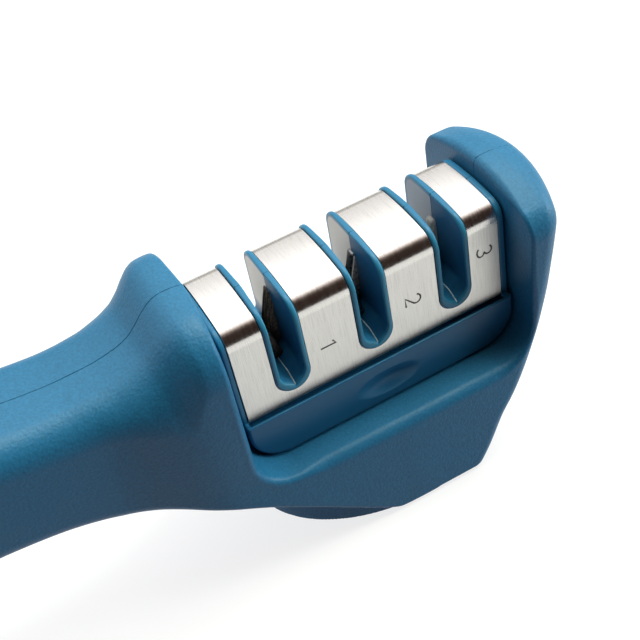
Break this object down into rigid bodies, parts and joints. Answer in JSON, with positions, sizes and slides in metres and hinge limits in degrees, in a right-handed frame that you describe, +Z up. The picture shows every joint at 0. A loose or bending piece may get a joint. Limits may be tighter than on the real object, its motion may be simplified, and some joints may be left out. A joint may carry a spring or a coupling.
{
  "type": "pull through knife sharpener",
  "caption": "Hand-held pull-through knife sharpener: moulded handle with a foot, and a lift-out steel-covered module whose V slots hold leaning abrasive bars.",
  "frame": {"origin": "on the table, under the middle of the whole sharpener's bounding box", "axes": "+X from the handle's tail to the nose, -Y the front of the picture, +Z up; Y = 0 is the parting plane"},
  "size_m": [0.2126, 0.0472, 0.0723],
  "materials": {
    "blue_plastic": "fine matte moulded, steel blue",
    "module_plastic": "smooth satin moulded, steel blue",
    "steel": "brushed stainless sheet",
    "rubber": "matte non-slip rubber",
    "screw_steel": "zinc plated",
    "diamond": "gritty diamond coating on steel",
    "carbide": "ground tungsten carbide",
    "ceramic": "fine white ceramic"
  },
  "bodies": {
    "root": {"body_screws": "screw_steel", "body_shell_back": "blue_plastic", "body_shell_front": "blue_plastic", "non_slip_pad": "rubber"},
    "module": {"module_core_back": "module_plastic", "module_core_front": "module_plastic", "module_cover": "steel", "module_screws": "screw_steel", "stage1_diamond_bar_back": "diamond", "stage1_diamond_bar_front": "diamond", "stage1_diamond_bar_middle": "diamond", "stage2_carbide_blade_back": "carbide", "stage2_carbide_blade_front": "carbide", "stage2_carbide_blade_middle": "carbide", "stage3_ceramic_rod_back": "ceramic", "stage3_ceramic_rod_front": "ceramic", "stage3_ceramic_rod_middle": "ceramic"}
  },
  "joints": [
    {"name": "module_lift", "type": "slide", "parent": "root", "child": "module", "axis": [0, 0, 1], "range_m": [0, 0.058]}
  ]
}
